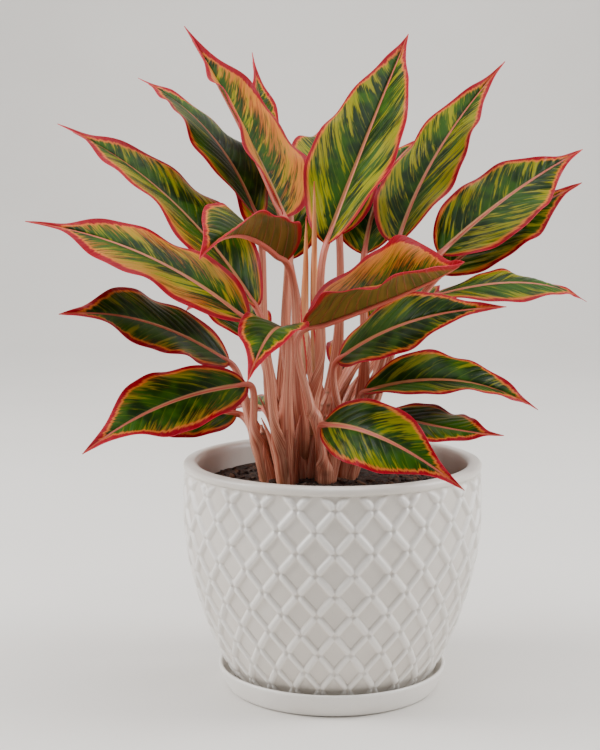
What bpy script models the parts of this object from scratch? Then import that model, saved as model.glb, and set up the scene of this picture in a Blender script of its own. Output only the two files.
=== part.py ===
"""A potted Chinese evergreen: lattice pot, saucer, soil, canes, leaves and two rolled young leaves.

Metres, +Z up. The origin is the centre of the saucer's underside. The pot's axis is Z, and the
open side of the plant, with its lowest front leaf over the rim, faces -Y.
"""
import math

import bmesh
import bpy
from mathutils import Vector

MM = 0.001
GAP = 0.3 * MM              # clearance between pieces that touch
ROUND_SIDES = 52            # sides of every turned piece

# Saucer
SAUCER_FLOOR = 4.0 * MM
SAUCER_PROFILE = (          # radius, height, from the underside round the wall to the floor
    (78.0, 0.0), (82.5, 1.5), (85.5, 6.0), (88.8, 15.5), (89.6, 17.6), (88.6, 18.8),
    (86.6, 18.4), (85.6, 16.4), (82.6, 6.2), (80.0, 4.0),
)

# Pot
POT_BOTTOM = SAUCER_FLOOR + GAP
LATTICE_COLUMNS = 26        # crossings in one row round the pot
LATTICE_TOP = 171.8 * MM
LATTICE_FIRST_ROW = 161.8 * MM
LATTICE_ROW_PITCH = 15.7 * MM
LATTICE_ROWS = 10           # crossing rows below the top edge
BAR_WIDTH = 5.0 * MM
BAR_PROUD = 1.8 * MM
CREST_PROFILE = (           # height, radius over the lattice bars
    (4.3, 72.0), (11.3, 77.5), (19.6, 83.6), (41.0, 93.6), (75.0, 105.8),
    (115.0, 114.2), (149.0, 115.9), (171.8, 115.0),
)
RIM_PROFILE = (             # radius, height, from the lattice's top edge over the lip
    (115.6, 173.4), (115.6, 176.6), (113.4, 178.5), (106.0, 178.5), (103.6, 176.2),
)
INSIDE_PROFILE = (          # radius, height, down the inner wall to the drain hole
    (103.0, 140.0), (99.0, 95.0), (87.6, 52.0), (69.0, 14.5), (8.0, 12.0),
)
DRAIN_UNDERSIDE = ((8.0, 5.3), (62.0, 5.3), (64.0, 4.3), (69.0, 4.3))

# Soil
SOIL_PROFILE = (            # radius, height, up the outside and in over the loose top
    (68.0, 15.2), (86.9, 52.2), (98.4, 95.2), (102.4, 140.0), (102.7, 159.0),
    (96.0, 160.8), (70.0, 162.6), (30.0, 163.5),
)
SOIL_TOP = 163.5 * MM
ROOT_DEPTH = 22.0 * MM      # how far a cane stands in the soil

# Canes: foot x, y at the soil; top x, y, z; radius
CANES = {
    "A": ((-48, -10), (-54, -12, 205), 5.5),
    "B": ((-34, -22), (-37, -26, 212), 5.5),
    "C": ((-21, -4), (-21, -4, 238), 7.0),
    "D": ((-5, -20), (-1, -24, 205), 5.5),
    "E": ((10, -4), (16, -4, 212), 6.0),
    "F": ((-34, 16), (-38, 22, 228), 5.5),
    "G": ((-8, 18), (-4, 26, 228), 6.0),
    "H": ((12, 20), (19, 27, 220), 5.5),
    "I": ((2, 38), (6, 48, 220), 5.0),
}
CANE_SIDES = 10

# Leaves, in millimetres and degrees: cane, height where the petiole leaves it, neck of the
# blade, tip, blade width, arch towards the upper face, sideways bow, roll, fold of each half
LEAVES = {
    "leaf_top_left": ("C", 236, (-37, 4, 365), (-122, 101, 519), 94, -2, -15, 17, 28),
    "leaf_top_left_rear": ("F", 226, (-38, 62, 390), (-70, 168, 504), 46, -5, 0, 46, 19),
    "leaf_top_middle": ("C", 232, (-5, -20, 345), (60, 80, 510), 85, 15, -10, 0, 20),
    "leaf_top_right": ("H", 218, (50, 10, 345), (140, 100, 490), 80, 0, 20, 0, 12),
    "leaf_right_high": ("G", 224, (85, 50, 335), (210, 130, 420), 70, 5, 5, 40, 10),
    "leaf_right_high_rear": ("H", 216, (88, 72, 318), (207, 112, 392), 65, 5, 5, 40, 10),
    "leaf_left_high": ("F", 220, (-60, 35, 365), (-165, 135, 480), 75, 20, -5, 10, 8),
    "leaf_left_upper": ("B", 210, (-58, -6, 296), (-219, 53, 438), 90, 25, 0, -10, 15),
    "leaf_left_middle": ("B", 190, (-61, -75, 292), (-224, -54, 363), 74, 15, -10, -25, 8),
    "leaf_left_lower": ("A", 200, (-80, 12, 252), (-192, -100, 299), 68, 5, -20, -45, 10),
    "leaf_front_left": ("A", 194, (-64, -28, 240), (-173, -125, 204), 62, 6, -12, -38, 8),
    "leaf_low_left": ("A", 180, (-76, 30, 209), (-174, -26, 207), 50, 6, -7, -56, 9),
    "leaf_centre_left": ("C", 214, (-35, -36, 333), (-86, -175, 341), 71, 24, -8, -5, 38),
    "leaf_centre_front": ("B", 200, (-33, -52, 283), (-56, -165, 260), 52, 20, 0, -6, 20),
    "leaf_centre_right": ("D", 202, (-20, -33, 283), (85, -169, 339), 88, -14, 26, 36, 50),
    "leaf_right_middle": ("E", 204, (4, 4, 255), (125, -65, 302), 59, 16, 5, 48, 8),
    "leaf_right_far": ("H", 196, (77, 38, 302), (206, 70, 296), 54, 32, -25, 22, 0),
    "leaf_right_lower": ("E", 196, (24, 2, 230), (160, 11, 216), 60, 28, -2, 29, 22),
    "leaf_low_right": ("E", 176, (38, 12, 213), (125, -64, 208), 57, 0, -5, 20, 5),
    "leaf_front_rim": ("D", 174, (-8, -38, 211), (92, -118, 178), 56, 28, 7, 56, 0),
    "leaf_back_middle": ("G", 222, (5, 50, 350), (-10, 190, 440), 80, 25, 0, 0, 15),
    "leaf_back_right": ("H", 200, (25, 45, 335), (75, 165, 430), 80, 20, 5, 0, 12),
    "leaf_back_left": ("G", 216, (-35, 60, 330), (-78, 200, 400), 78, 25, 0, 5, 12),
    "leaf_back_low_left": ("F", 196, (-62, 60, 262), (-130, 168, 280), 66, 25, 0, 0, 12),
    "leaf_back_low_middle": ("I", 205, (10, 78, 236), (48, 175, 242), 60, 22, 0, 0, 12),
    "leaf_back_low_right": ("I", 215, (45, 78, 262), (85, 185, 300), 66, 22, 0, 0, 12),
    "leaf_back_over_rim": ("F", 176, (-55, 48, 210), (-105, 130, 184), 56, 16, 0, 0, 12),
}
PETIOLE_FOOT_RADIUS = 3.3 * MM
PETIOLE_NECK_RADIUS = 2.1 * MM
PETIOLE_CLEARANCE = 0.8 * MM    # between a petiole's foot and its cane
PETIOLE_STATIONS = 5
PETIOLE_SPREAD = 0.35       # sideways share of the direction in which a petiole starts
BLADE_STATIONS = (0.03, 0.11, 0.24, 0.40, 0.58, 0.76, 0.90, 1.0)
OUTLINE_BASE_POWER = 0.62   # how fast the blade widens from its neck
OUTLINE_TIP_POWER = 1.05    # how fast it narrows to its tip
MIDRIB_THICKNESS = 1.6 * MM
BLADE_THICKNESS = 0.8 * MM
TIP_WIDTH = 0.6 * MM

# Rolled young leaves, in millimetres: foot, tip, greatest radius
SPEARS = {
    "young_leaf_left": ((-22, -8, 244), (-20, -17, 366), 3.2),
    "young_leaf_right": ((-14, -3, 246), (-14, -24, 392), 3.0),
}
SPEAR_SIDES = 8

COLOURS = {                 # base colour, roughness
    "pot": ((0.72, 0.69, 0.65), 0.42),
    "saucer": ((0.78, 0.75, 0.71), 0.40),
    "soil": ((0.022, 0.013, 0.010), 0.95),
    "cane": ((0.36, 0.16, 0.11), 0.60),
    "leaf": ((0.08, 0.15, 0.03), 0.45),
    "young_leaf": ((0.75, 0.45, 0.22), 0.50),
}


def clear_scene():
    for item in list(bpy.data.objects):
        bpy.data.objects.remove(item, do_unlink=True)


def material(name):
    """A Principled material with the piece's colour and roughness."""
    made = bpy.data.materials.get(name)
    if made is None:
        colour, roughness = COLOURS[name]
        made = bpy.data.materials.new(name)
        made.use_nodes = True
        shader = made.node_tree.nodes["Principled BSDF"]
        shader.inputs["Base Color"].default_value = (*colour, 1.0)
        shader.inputs["Roughness"].default_value = roughness
        shader.inputs["Metallic"].default_value = 0.0
    return made


def make_object(name, bm, finish, smooth_angle=40.0):
    """Turn a bmesh into a named object with its own material and outward faces."""
    bmesh.ops.recalc_face_normals(bm, faces=bm.faces)
    mesh = bpy.data.meshes.new(name)
    bm.to_mesh(mesh)
    bm.free()
    mesh.shade_smooth()
    mesh.set_sharp_from_angle(angle=math.radians(smooth_angle))
    mesh.materials.append(material(finish))
    made = bpy.data.objects.new(name, mesh)
    bpy.context.scene.collection.objects.link(made)
    return made


def interpolate(table, place):
    """Straight-line interpolation in a table of (place, value) pairs."""
    if place <= table[0][0]:
        return table[0][1]
    for (x0, y0), (x1, y1) in zip(table, table[1:]):
        if place <= x1:
            return y0 + (y1 - y0) * (place - x0) / (x1 - x0)
    return table[-1][1]


def add_ring(bm, radius, height, sides=ROUND_SIDES):
    return [bm.verts.new((radius * math.cos(2 * math.pi * i / sides),
                          radius * math.sin(2 * math.pi * i / sides), height))
            for i in range(sides)]


def bridge(bm, lower, upper):
    """Quads between two rings with the same number of points."""
    count = len(lower)
    for i in range(count):
        j = (i + 1) % count
        bm.faces.new((lower[i], lower[j], upper[j], upper[i]))


def turned_solid(name, profile, finish):
    """A solid of revolution; its first and last rings are closed with flat discs."""
    bm = bmesh.new()
    rings = [add_ring(bm, radius * MM, height * MM) for radius, height in profile]
    for lower, upper in zip(rings, rings[1:]):
        bridge(bm, lower, upper)
    bm.faces.new(rings[0])
    bm.faces.new(rings[-1])
    return make_object(name, bm, finish)


# ---------------------------------------------------------------- pot

def lattice_heights():
    """Heights of the rows of crossings, from the edge under the rim to the pot's foot."""
    rows = [LATTICE_FIRST_ROW - LATTICE_ROW_PITCH * i for i in range(LATTICE_ROWS)]
    return [LATTICE_TOP] + rows + [POT_BOTTOM]


def lattice_crossings(bm):
    """Points of the lattice by (row, half column); the two edge rows hold every half column."""
    halves = 2 * LATTICE_COLUMNS
    heights = lattice_heights()
    points = {}
    for row, height in enumerate(heights):
        radius = interpolate(CREST_PROFILE, height / MM) * MM
        on_edge = row in (0, len(heights) - 1)
        for half in range(halves):
            if on_edge or (row + half) % 2 == 0:
                angle = 2 * math.pi * half / halves
                points[row, half] = bm.verts.new(
                    (radius * math.cos(angle), radius * math.sin(angle), height))
    return points


def lattice_cells(bm, points):
    """Diamonds between four crossings, and half diamonds along the two edge rows."""
    halves = 2 * LATTICE_COLUMNS
    last = len(lattice_heights()) - 1
    cells = []
    for row in range(last + 1):
        for half in range(halves):
            if (row + half) % 2 == 0:
                continue
            left = points[row, (half - 1) % halves]
            right = points[row, (half + 1) % halves]
            below = points[row, half] if row == last else points[row + 1, half]
            above = points[row, half] if row == 0 else points[row - 1, half]
            cells.append(bm.faces.new((left, below, right, above)))
    return cells


def make_pot():
    """Lattice wall, lip, inner wall, drain hole and foot ring as one closed shell."""
    bm = bmesh.new()
    points = lattice_crossings(bm)
    cells = lattice_cells(bm, points)
    bm.normal_update()
    bmesh.ops.inset_individual(bm, faces=cells, thickness=BAR_WIDTH / 2, depth=-BAR_PROUD,
                               use_even_offset=True)
    last = len(lattice_heights()) - 1
    halves = 2 * LATTICE_COLUMNS
    top_edge = [points[0, half] for half in range(halves)]
    foot_edge = [points[last, half] for half in range(halves)]
    profile = RIM_PROFILE + INSIDE_PROFILE + DRAIN_UNDERSIDE
    rings = [top_edge]
    rings += [add_ring(bm, radius * MM, height * MM) for radius, height in profile]
    rings.append(foot_edge)
    for lower, upper in zip(rings, rings[1:]):
        bridge(bm, lower, upper)
    return make_object("pot", bm, "pot", smooth_angle=25.0)


# ---------------------------------------------------------------- soil and canes

def cane_line(name):
    """Points up the middle of a cane, from its foot in the soil to its top."""
    (foot_x, foot_y), (top_x, top_y, top_z), _ = CANES[name]
    foot = Vector((foot_x, foot_y, 0)) * MM
    top = Vector((top_x, top_y, top_z)) * MM
    foot.z = SOIL_TOP - ROOT_DEPTH
    collar = Vector((foot.x, foot.y, SOIL_TOP + 1.0 * MM))
    return foot, collar, top


def cane_at(name, height):
    """Centre of a cane at a height above its collar."""
    _, collar, top = cane_line(name)
    return collar.lerp(top, (height - collar.z) / (top.z - collar.z))


def make_cane(name):
    """A round cane, upright in the soil, leaning above it, with a domed top."""
    radius = CANES[name][2] * MM
    foot, collar, top = cane_line(name)
    lean = (top - collar).normalized()
    stations = [(foot, 0.85), (collar, 1.0), (collar.lerp(top, 0.5), 0.97), (top, 0.92),
                (top + lean * 0.35 * radius, 0.7), (top + lean * 0.55 * radius, 0.35)]
    bm = bmesh.new()
    rings = []
    for centre, share in stations:
        rings.append([bm.verts.new((
            centre.x + radius * share * math.cos(2 * math.pi * i / CANE_SIDES),
            centre.y + radius * share * math.sin(2 * math.pi * i / CANE_SIDES),
            centre.z)) for i in range(CANE_SIDES)])
    for lower, upper in zip(rings, rings[1:]):
        bridge(bm, lower, upper)
    bm.faces.new(rings[0])
    bm.faces.new(rings[-1])
    return make_object(f"cane_{name.lower()}", bm, "cane")


def make_root_holes():
    """One cutter of upright plugs, a little larger than the canes' buried ends."""
    bm = bmesh.new()
    for name, (_, _, radius) in CANES.items():
        foot, _, _ = cane_line(name)
        depth = ROOT_DEPTH + 8.0 * MM
        made = bmesh.ops.create_cone(bm, cap_ends=True, segments=CANE_SIDES, depth=depth,
                                     radius1=radius * MM + 2 * GAP, radius2=radius * MM + 2 * GAP)
        bmesh.ops.translate(bm, verts=made["verts"], vec=foot + Vector((0, 0, depth / 2 - GAP)))
    mesh = bpy.data.meshes.new("root_holes")
    bm.to_mesh(mesh)
    bm.free()
    cutter = bpy.data.objects.new("root_holes", mesh)
    cutter.hide_render = True
    cutter.display_type = "WIRE"
    bpy.context.scene.collection.objects.link(cutter)
    return cutter


def make_soil():
    """The potting mix, with a hole where each cane stands in it."""
    soil = turned_solid("soil", SOIL_PROFILE, "soil")
    holes = soil.modifiers.new("root_holes", "BOOLEAN")
    holes.operation = "DIFFERENCE"
    holes.solver = "EXACT"
    holes.object = make_root_holes()
    return soil


# ---------------------------------------------------------------- leaves

def bezier(points, place):
    """Point and direction on a cubic curve."""
    a, b, c, d = points
    rest = 1 - place
    at = rest ** 3 * a + 3 * rest ** 2 * place * b + 3 * rest * place ** 2 * c + place ** 3 * d
    along = rest ** 2 * (b - a) + 2 * rest * place * (c - b) + place ** 2 * (d - c)
    return at, along.normalized()


def blade_frame(neck, tip, roll):
    """Directions along the blade, out of its upper face, and to its left."""
    along = (tip - neck).normalized()
    up = Vector((0, 0, 1))
    up = (up - up.dot(along) * along).normalized()
    left = up.cross(along)
    normal = up * math.cos(roll) - left * math.sin(roll)
    return along, normal, normal.cross(along)


def outline(place):
    """Half width of a blade as a share of its greatest, from its neck (0) to its tip (1)."""
    widest = OUTLINE_BASE_POWER / (OUTLINE_BASE_POWER + OUTLINE_TIP_POWER)
    shape = place ** OUTLINE_BASE_POWER * (1 - place) ** OUTLINE_TIP_POWER
    return shape / (widest ** OUTLINE_BASE_POWER * (1 - widest) ** OUTLINE_TIP_POWER)


def square_to(direction, reference):
    """The reference direction, made square to a direction and one unit long."""
    return (reference - reference.dot(direction) * direction).normalized()


def blade_ring(centre, left, normal, half_width, fold, thickness):
    """Eight points round a folded blade: margins, halves and midrib, above and below."""
    side = Vector((math.cos(fold), math.sin(fold)))
    rib = MIDRIB_THICKNESS * thickness
    skin = BLADE_THICKNESS * thickness / side.x
    places = ((1.0, 0.0), (0.5, skin / 2), (0.0, rib * 0.3), (-0.5, skin / 2),
              (-1.0, 0.0), (-0.5, -skin / 2), (0.0, -rib * 0.7), (0.5, -skin / 2))
    return [centre + left * (share * half_width * side.x)
            + normal * (abs(share) * half_width * side.y + lift) for share, lift in places]


def round_ring(centre, left, normal, radius):
    turns = [math.pi * i / 4 for i in range(8)]
    return [centre + radius * (math.cos(turn) * left + math.sin(turn) * normal) for turn in turns]


def petiole_foot(cane, height, neck, radius):
    """Where a petiole leaves its cane: beside it, on the side that faces the blade."""
    centre = cane_at(cane, height)
    outward = Vector((neck.x - centre.x, neck.y - centre.y, 0)).normalized()
    reach = CANES[cane][2] * MM + radius + PETIOLE_CLEARANCE
    return centre + outward * reach


def petiole_rise(cane, foot):
    """Direction in which a petiole starts: up its cane, and a little away from it."""
    _, collar, top = cane_line(cane)
    centre = cane_at(cane, foot.z)
    outward = (foot - centre).normalized()
    return ((top - collar).normalized() + PETIOLE_SPREAD * outward).normalized()


def leaf_rings(spec):
    """Rings of points from the petiole's foot, through the neck, to the tip."""
    cane, height, neck, tip, width, arch, bow, roll, fold = spec
    neck, tip = Vector(neck) * MM, Vector(tip) * MM
    _, normal, left = blade_frame(neck, tip, math.radians(roll))
    lift = normal * arch * MM + left * bow * MM
    midrib = (neck, neck.lerp(tip, 1 / 3) + lift, neck.lerp(tip, 2 / 3) + lift, tip)
    _, start = bezier(midrib, 0.0)

    foot = petiole_foot(cane, height * MM, neck, PETIOLE_FOOT_RADIUS)
    reach = (neck - foot).length
    stalk = (foot, foot + petiole_rise(cane, foot) * 0.35 * reach,
             neck - start * 0.25 * reach, neck)
    stalk_rings = []
    face = square_to(start, normal)
    for station in range(PETIOLE_STATIONS, -1, -1):
        place = station / PETIOLE_STATIONS
        centre, along = bezier(stalk, place)
        face = square_to(along, face)
        radius = PETIOLE_FOOT_RADIUS + (PETIOLE_NECK_RADIUS - PETIOLE_FOOT_RADIUS) * place
        stalk_rings.insert(0, round_ring(centre, face.cross(along), face, radius))

    blade_rings = []
    for place in BLADE_STATIONS:
        centre, along = bezier(midrib, place)
        face = square_to(along, normal)
        half_width = max(outline(place) * width * MM, TIP_WIDTH) / 2
        taper = 1.0 - 0.5 * place
        blade_rings.append(blade_ring(centre, face.cross(along), face, half_width,
                                      math.radians(fold), taper))
    return stalk_rings + blade_rings


def loft(name, rings, finish, smooth_angle=60.0):
    """A closed solid through rings of points, with flat ends."""
    bm = bmesh.new()
    loops = [[bm.verts.new(point) for point in ring] for ring in rings]
    for lower, upper in zip(loops, loops[1:]):
        bridge(bm, lower, upper)
    bm.faces.new(loops[0])
    bm.faces.new(loops[-1])
    return make_object(name, bm, finish, smooth_angle)


def make_spear(name):
    """A young leaf still rolled: thin at the foot, fuller in the middle, pointed."""
    foot, tip, radius = SPEARS[name]
    foot, tip = Vector(foot) * MM, Vector(tip) * MM
    along = (tip - foot).normalized()
    face = square_to(along, Vector((0, -1, 0)))
    left = face.cross(along)
    shares = ((0.0, 0.75), (0.25, 0.8), (0.55, 1.0), (0.8, 0.7), (0.93, 0.35), (1.0, 0.08))
    rings = []
    for place, share in shares:
        centre = foot.lerp(tip, place)
        rings.append([centre + radius * MM * share
                      * (math.cos(2 * math.pi * i / SPEAR_SIDES) * left
                         + math.sin(2 * math.pi * i / SPEAR_SIDES) * face)
                      for i in range(SPEAR_SIDES)])
    return loft(name, rings, "young_leaf")


def main():
    clear_scene()
    turned_solid("saucer", SAUCER_PROFILE, "saucer")
    make_pot()
    make_soil()
    for name in CANES:
        make_cane(name)
    for name, spec in LEAVES.items():
        loft(name, leaf_rings(spec), "leaf")
    for name in SPEARS:
        make_spear(name)


main()
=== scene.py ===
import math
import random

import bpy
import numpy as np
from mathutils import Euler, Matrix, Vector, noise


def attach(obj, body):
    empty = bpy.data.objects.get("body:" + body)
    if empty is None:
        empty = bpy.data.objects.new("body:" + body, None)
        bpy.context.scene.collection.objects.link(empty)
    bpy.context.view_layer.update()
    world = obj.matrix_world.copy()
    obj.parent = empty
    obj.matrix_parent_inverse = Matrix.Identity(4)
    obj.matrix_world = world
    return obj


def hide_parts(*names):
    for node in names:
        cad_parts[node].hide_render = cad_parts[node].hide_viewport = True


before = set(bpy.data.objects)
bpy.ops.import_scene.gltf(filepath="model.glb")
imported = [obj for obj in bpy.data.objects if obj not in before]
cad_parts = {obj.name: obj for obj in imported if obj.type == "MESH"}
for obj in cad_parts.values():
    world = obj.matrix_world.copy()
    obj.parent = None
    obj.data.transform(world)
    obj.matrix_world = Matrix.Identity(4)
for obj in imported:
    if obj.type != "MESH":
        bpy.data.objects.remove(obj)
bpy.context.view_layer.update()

# %% [markdown]
# # A potted Chinese evergreen
# The frame holds the plain solids of a potted plant: a lattice pot, its saucer, the soil, nine
# canes, twenty-seven leaves and two rolled young leaves. This lesson gives each of them its real
# surface. Nothing moves, so every piece rides on the one body, root.

MM = 0.001

# %% [markdown]
# ## Camera, floor and light
# The plant is looked at from a little above the leaves, with a long lens, so the pot's rim shows as
# a flat ellipse. The light is that of an open, overcast place: broad panels at both sides and
# above, and none behind the viewer, so the middle of the pot is a little darker than its flanks.
# A fourth panel lights the backdrop.

# %% Camera
CAMERA_PLACE = (0.0, -1.1144, 0.3827)
CAMERA_TILT = 7.1
CAMERA_TURN = 1.29
LENS = 69.85
SENSOR_HEIGHT = 36.0

camera_data = bpy.data.cameras.new("camera")
camera_data.lens = LENS
camera_data.sensor_fit = "VERTICAL"
camera_data.sensor_height = SENSOR_HEIGHT
camera = bpy.data.objects.new("camera", camera_data)
camera.location = CAMERA_PLACE
camera.rotation_euler = (math.radians(90 - CAMERA_TILT), 0, math.radians(CAMERA_TURN))
bpy.context.scene.collection.objects.link(camera)
bpy.context.scene.camera = camera
print("camera at", CAMERA_PLACE)

# %% Lights
PLANT_MIDDLE = (0.0, 0.0, 0.22)
BACKDROP_MIDDLE = (0.0, 4.0, 0.4)
LIGHTS = {          # place, aim, width, height, watts
    "light_left": ((-1.5, -0.15, 1.10), PLANT_MIDDLE, 0.9, 1.1, 40),
    "light_right": ((1.5, -0.05, 1.10), PLANT_MIDDLE, 0.9, 1.1, 35),
    "light_top": ((0.0, -0.35, 1.9), PLANT_MIDDLE, 1.3, 1.1, 19),
    "light_backdrop": ((0.0, 1.4, 2.9), BACKDROP_MIDDLE, 3.0, 1.5, 105),
}
SKY_COLOUR = (0.80, 0.81, 0.82, 1)
SKY_STRENGTH = 0.42


def add_light(name, place, aim, width, height, watts):
    """A rectangular panel that faces the point it is aimed at."""
    data = bpy.data.lights.new(name, "AREA")
    data.shape = "RECTANGLE"
    data.size = width
    data.size_y = height
    data.energy = watts
    panel = bpy.data.objects.new(name, data)
    panel.location = place
    facing = Vector(aim) - Vector(place)
    panel.rotation_euler = facing.to_track_quat("-Z", "Y").to_euler()
    bpy.context.scene.collection.objects.link(panel)


for light_name, light_facts in LIGHTS.items():
    add_light(light_name, *light_facts)

world = bpy.data.worlds.new("studio")
bpy.context.scene.world = world
world.use_nodes = True
sky = world.node_tree.nodes["Background"]
sky.inputs["Color"].default_value = SKY_COLOUR
sky.inputs["Strength"].default_value = SKY_STRENGTH
print(len(LIGHTS), "lights")

# %% [markdown]
# ## Helpers for modelling by hand
# Every new piece starts as a primitive and is shaped with edit-mode operators. An operator works
# on all that is selected, so each helper starts from an empty selection. Where a surface follows a
# formula, its points are read into an array, moved there and written back.

# %% Selecting, reading and writing points


def deselect():
    if bpy.context.object and bpy.context.object.mode != "OBJECT":
        bpy.ops.object.mode_set(mode="OBJECT")
    bpy.ops.object.select_all(action="DESELECT")


def pick(*pieces):
    """Select just these pieces; the first is the active one."""
    deselect()
    for piece in pieces:
        piece.select_set(True)
    bpy.context.view_layer.objects.active = pieces[0]


def new_piece(name):
    """Name the primitive that was just added."""
    piece = bpy.context.object
    piece.name = name
    piece.data.name = name
    return piece


def copy_piece(source, name):
    piece = bpy.data.objects.new(name, source.data.copy())
    piece.data.name = name
    bpy.context.scene.collection.objects.link(piece)
    return piece


def points_of(piece):
    points = np.empty(len(piece.data.vertices) * 3)
    piece.data.vertices.foreach_get("co", points)
    return points.reshape(-1, 3)


def set_points(piece, points):
    piece.data.vertices.foreach_set("co", np.ascontiguousarray(points, dtype=float).ravel())
    piece.data.update()


def set_values(piece, name, values):
    """Store one number, or one vector, for each point."""
    values = np.asarray(values, dtype=float)
    kind = "FLOAT_VECTOR" if values.ndim == 2 else "FLOAT"
    layer = piece.data.attributes.new(name, kind, "POINT")
    layer.data.foreach_set("vector" if values.ndim == 2 else "value", values.ravel())


def apply_modifier(piece, kind, **settings):
    pick(piece)
    added = piece.modifiers.new(kind.lower(), kind)
    for setting, value in settings.items():
        setattr(added, setting, value)
    bpy.ops.object.modifier_apply(modifier=added.name)


def close_seams(piece, distance=1e-5):
    """Merge doubled points, then turn every face outwards."""
    pick(piece)
    bpy.ops.object.mode_set(mode="EDIT")
    bpy.ops.mesh.select_all(action="SELECT")
    bpy.ops.mesh.remove_doubles(threshold=distance)
    bpy.ops.mesh.normals_make_consistent(inside=False)
    bpy.ops.object.mode_set(mode="OBJECT")


def finish_piece(piece, finishes, nodes, angle=40):
    """Give a piece its materials, smooth shading and its body, and hide the CAD parts it replaces.
    """
    for finish in finishes:
        piece.data.materials.append(finish)
    pick(piece)
    bpy.ops.object.shade_smooth_by_angle(angle=math.radians(angle))
    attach(piece, "root")
    if nodes:
        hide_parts(*nodes)


# %% [markdown]
# ## Shader maths that reads like arithmetic
# A material here is a small program. Wire wraps one socket, so masks can be added, multiplied and
# compared with ordinary signs, and Finish adds every other node through one method.

# %% Wire and Finish


class Wire:
    """One output socket of a material."""

    def __init__(self, finish, socket):
        self.finish = finish
        self.socket = socket

    def maths(self, operation, *others):
        return self.finish.maths(operation, self, *others)

    def __add__(self, other):
        return self.maths("ADD", other)

    def __radd__(self, other):
        return self.finish.maths("ADD", other, self)

    def __sub__(self, other):
        return self.maths("SUBTRACT", other)

    def __rsub__(self, other):
        return self.finish.maths("SUBTRACT", other, self)

    def __mul__(self, other):
        return self.maths("MULTIPLY", other)

    def __rmul__(self, other):
        return self.finish.maths("MULTIPLY", other, self)

    def __truediv__(self, other):
        return self.maths("DIVIDE", other)

    def __abs__(self):
        return self.maths("ABSOLUTE")


class Finish:
    """A Principled material and the few kinds of node that this plant needs."""

    def __init__(self, name, roughness=0.5, **constants):
        self.material = bpy.data.materials.new(name)
        self.material.use_nodes = True
        self.tree = self.material.node_tree
        self.shader = self.tree.nodes["Principled BSDF"]
        self.shader.inputs["Roughness"].default_value = roughness
        for socket, value in constants.items():
            self.shader.inputs[socket.replace("_", " ")].default_value = value

    def node(self, kind, settings=None, inputs=None, output=0):
        made = self.tree.nodes.new(kind)
        for setting, value in (settings or {}).items():
            setattr(made, setting, value)
        for socket, value in (inputs or {}).items():
            self.feed(made.inputs[socket], value)
        return Wire(self, made.outputs[output])

    def feed(self, socket, value):
        if isinstance(value, Wire):
            self.tree.links.new(value.socket, socket)
        elif isinstance(value, tuple) and len(value) == 3 and socket.type == "RGBA":
            socket.default_value = (*value, 1)
        else:
            socket.default_value = value

    def set(self, socket, value):
        self.feed(self.shader.inputs[socket], value)

    def maths(self, operation, *terms):
        return self.node("ShaderNodeMath", {"operation": operation}, dict(enumerate(terms)))

    def value(self, name):
        return self.node("ShaderNodeAttribute", {"attribute_name": name}, output="Fac")

    def vector(self, name):
        return self.node("ShaderNodeAttribute", {"attribute_name": name}, output="Vector")

    def parts(self, vector):
        made = self.tree.nodes.new("ShaderNodeSeparateXYZ")
        self.feed(made.inputs[0], vector)
        return [Wire(self, socket) for socket in made.outputs]

    def join(self, x, y, z):
        return self.node("ShaderNodeCombineXYZ", None, {0: x, 1: y, 2: z})

    def place(self):
        return self.node("ShaderNodeTexCoord", None, None, output="Object")

    def grain(self, where, scale, detail=2.0, roughness=0.5, distortion=0.0):
        return self.node("ShaderNodeTexNoise", None, {
            "Vector": where, "Scale": scale, "Detail": detail, "Roughness": roughness,
            "Distortion": distortion}, output="Fac")

    def step(self, wire, low, high, out_low=0.0, out_high=1.0):
        """A soft step: out_low below low, out_high above high."""
        return self.node("ShaderNodeMapRange", {"interpolation_type": "SMOOTHSTEP"}, {
            "Value": wire, "From Min": low, "From Max": high,
            "To Min": out_low, "To Max": out_high})

    def mix(self, share, under, over):
        return self.node("ShaderNodeMix", {"data_type": "RGBA"}, {0: share, 6: under, 7: over},
                         output=2)

    def bump(self, height, distance, strength=1.0):
        return self.node("ShaderNodeBump", None, {
            "Height": height, "Distance": distance, "Strength": strength})


print("shader helpers ready")

# %% [markdown]
# ## The floor
# A plain pale floor, not part of the object. Its far edge is extruded upwards and the corner is
# bevelled into a wide cove, as in a portrait studio, so that no horizon shows.

# %% Floor
FLOOR_SIZE, FLOOR_BACK = 14, 4.2
BACKDROP_HEIGHT, COVE_RADIUS = 5, 2.0
ON_EDGE = 0.1                   # how near a point must be to count as on the back edge
deselect()
bpy.ops.mesh.primitive_plane_add(size=FLOOR_SIZE, location=(0, FLOOR_BACK - FLOOR_SIZE / 2, 0))
bpy.ops.object.transform_apply(location=True)
floor = new_piece("floor")
bpy.ops.object.mode_set(mode="EDIT")
bpy.ops.mesh.select_all(action="DESELECT")
bpy.ops.object.mode_set(mode="OBJECT")
for edge in floor.data.edges:
    edge.select = all(floor.data.vertices[i].co.y > FLOOR_BACK - ON_EDGE for i in edge.vertices)
bpy.ops.object.mode_set(mode="EDIT")
bpy.ops.mesh.select_mode(type="EDGE")
bpy.ops.mesh.extrude_region_move(TRANSFORM_OT_translate={"value": (0, 0, BACKDROP_HEIGHT)})
bpy.ops.object.mode_set(mode="OBJECT")
for edge in floor.data.edges:
    ends = [floor.data.vertices[i].co for i in edge.vertices]
    edge.select = all(end.y > FLOOR_BACK - ON_EDGE and end.z < ON_EDGE for end in ends)
bpy.ops.object.mode_set(mode="EDIT")
bpy.ops.mesh.bevel(offset=COVE_RADIUS, segments=24, affect="EDGES")
bpy.ops.object.mode_set(mode="OBJECT")
bpy.ops.object.shade_smooth()
floor_finish = Finish("floor", roughness=0.85)
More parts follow.
